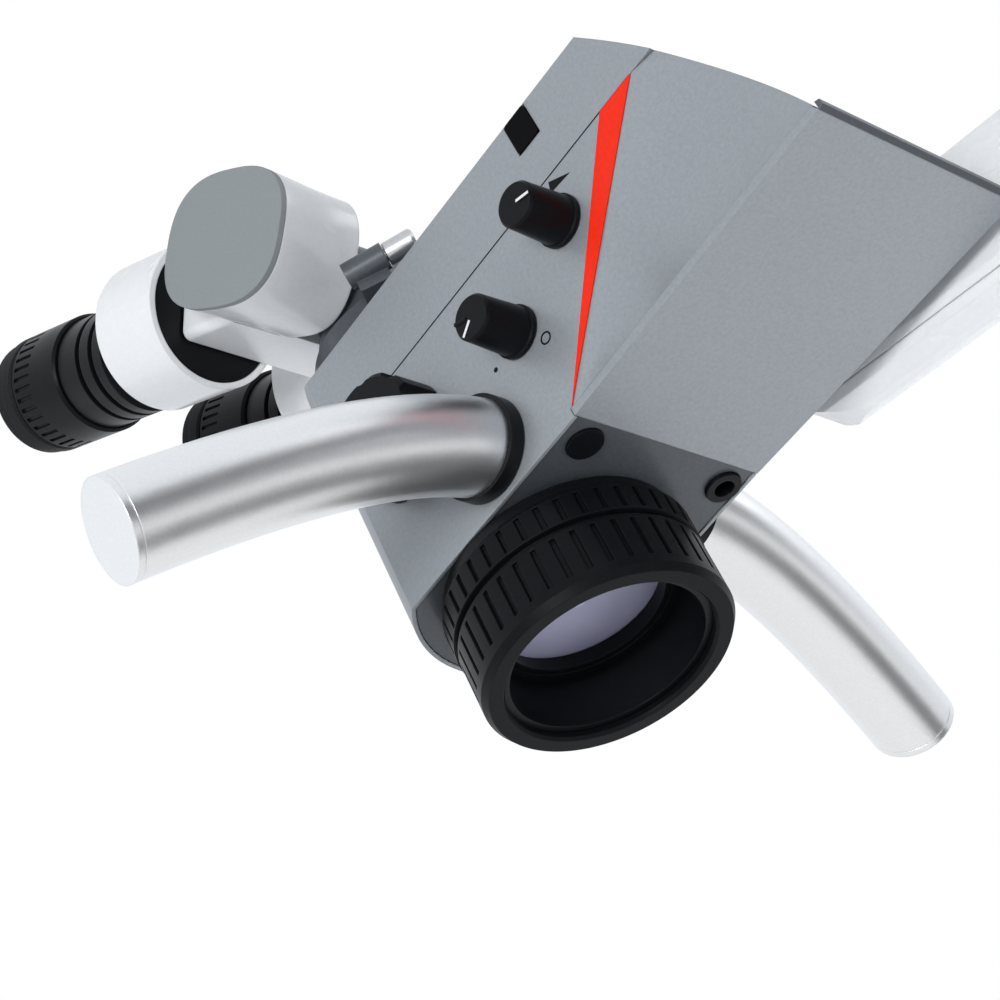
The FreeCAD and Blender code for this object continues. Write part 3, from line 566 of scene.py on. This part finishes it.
def makeRing(look):
    bm = bmesh.new()
    bmesh.ops.create_circle(bm, cap_ends=True, segments=look["segments"], radius=look["radius"])
    bmesh.ops.inset_region(bm, faces=bm.faces[:], thickness=look["line"], use_boundary=True)
    middle = [f for f in bm.faces if len(f.verts) == look["segments"]]
    bmesh.ops.delete(bm, geom=middle, context="FACES_ONLY")
    bmesh.ops.solidify(bm, geom=bm.faces[:], thickness=look["thick"])
    level = sum(v.co.z for v in bm.verts) / len(bm.verts)
    bmesh.ops.translate(bm, vec=(0, 0, -level), verts=bm.verts)
    toSide(bm, look["at"], look["lift"])
    finishPiece("markRing", bm, "head", "mark_black")


dotLook = {"at": (-33.4, 32.8), "radius": 0.75, "segments": 28, "thick": 0.06, "lift": 0.06}


def makeDot(look):
    bm = bmesh.new()
    bmesh.ops.create_cone(bm, cap_ends=True, segments=look["segments"],
                          radius1=look["radius"], radius2=look["radius"], depth=look["thick"])
    toSide(bm, look["at"], look["lift"])
    finishPiece("markDot", bm, "head", "mark_black")


wedgeLook = {
    "at": (-79.0, 59.5),
    "length": 8.0,
    "wide": 3.6,
    "turn": 18.0,  # degrees
    "steps": 6,
    "merge": 0.01,  # closes the pointed end
    "thick": 0.06,
    "lift": 0.072,
}


def makeWedge(look):
    bm = bmesh.new()
    bmesh.ops.create_grid(bm, x_segments=look["steps"], y_segments=1, size=0.5)
    for v in bm.verts:
        v.co.y *= look["wide"] * (v.co.x + 0.5)
        v.co.x *= look["length"]
    bmesh.ops.remove_doubles(bm, verts=bm.verts, dist=look["merge"])
    bmesh.ops.solidify(bm, geom=bm.faces[:], thickness=look["thick"])
    turnFlat(bm, look["turn"])
    toSide(bm, look["at"], look["lift"])
    finishPiece("markWedge", bm, "head", "mark_black")


seamShadowLook = {
    "height": 63.8,
    "wide": 0.42,
    "backEnd": -112.0,
    "noseRadius": 43.5,
    "steps": 24,
    "thick": 0.06,
    "lift": 0.054,
}


# A dark band of painted shadow in the seam's gap, from one rear end round the nose to the other, grown
# upwards into a band
def makeSeamShadow(look):
    half, radius = headSeat["halfWidth"] + look["lift"], look["noseRadius"] + look["lift"]
    corner = math.asin(headSeat["halfWidth"] / look["noseRadius"])
    low = look["height"] - look["wide"] / 2
    bm = bmesh.new()
    start = bm.verts.new((half, look["backEnd"], low))
    bend = bm.verts.new((radius * math.sin(corner), radius * math.cos(corner), low))
    bm.edges.new((start, bend))
    nose = bmesh.ops.spin(bm, geom=[bend], cent=(0, 0, low), axis=(0, 0, 1),
                          angle=2 * corner, steps=look["steps"])
    last = next(g for g in nose["geom_last"] if isinstance(g, bmesh.types.BMVert))
    end = bm.verts.new((-half, look["backEnd"], low))
    bm.edges.new((last, end))
    grown = bmesh.ops.extrude_edge_only(bm, edges=bm.edges[:])
    raised = [g for g in grown["geom"] if isinstance(g, bmesh.types.BMVert)]
    bmesh.ops.translate(bm, vec=(0, 0, look["wide"]), verts=raised)
    bmesh.ops.recalc_face_normals(bm, faces=bm.faces)
    bmesh.ops.solidify(bm, geom=bm.faces[:], thickness=look["thick"])
    bmesh.ops.transform(bm, matrix=headMatrix, verts=bm.verts)
    finishPiece("seamShadowLine", bm, "head", "mark_black")


knobLineLook = {
    "reach": (1.0, 5.8),
    "wide": 0.8,
    "thick": 0.12,
    "lift": 0.048,
    "knobs": {
        "brightness": {"at": (-72.9, 49.0), "turn": 108.0, "end": 17.35},  # degrees, mm off the wall
        "filter": {"at": (-44.9, 35.2), "turn": -121.0, "end": 17.0},
    },
}


def makeKnobLines(look):
    inner, outer = look["reach"]
    for body, knob in look["knobs"].items():
        bm = bmesh.new()
        bmesh.ops.create_cube(bm, size=1.0)
        bmesh.ops.scale(bm, vec=(look["wide"], outer - inner, look["thick"]), verts=bm.verts)
        bmesh.ops.translate(bm, vec=(0, (inner + outer) / 2, 0), verts=bm.verts)
        turnFlat(bm, knob["turn"])
        toSide(bm, knob["at"], knob["end"] + look["lift"])
        finishPiece(body + "Line", bm, body, "mark_white")


makeRing(ringLook)
makeDot(dotLook)
makeWedge(wedgeLook)
makeSeamShadow(seamShadowLook)
makeKnobLines(knobLineLook)
print("stage: marks")
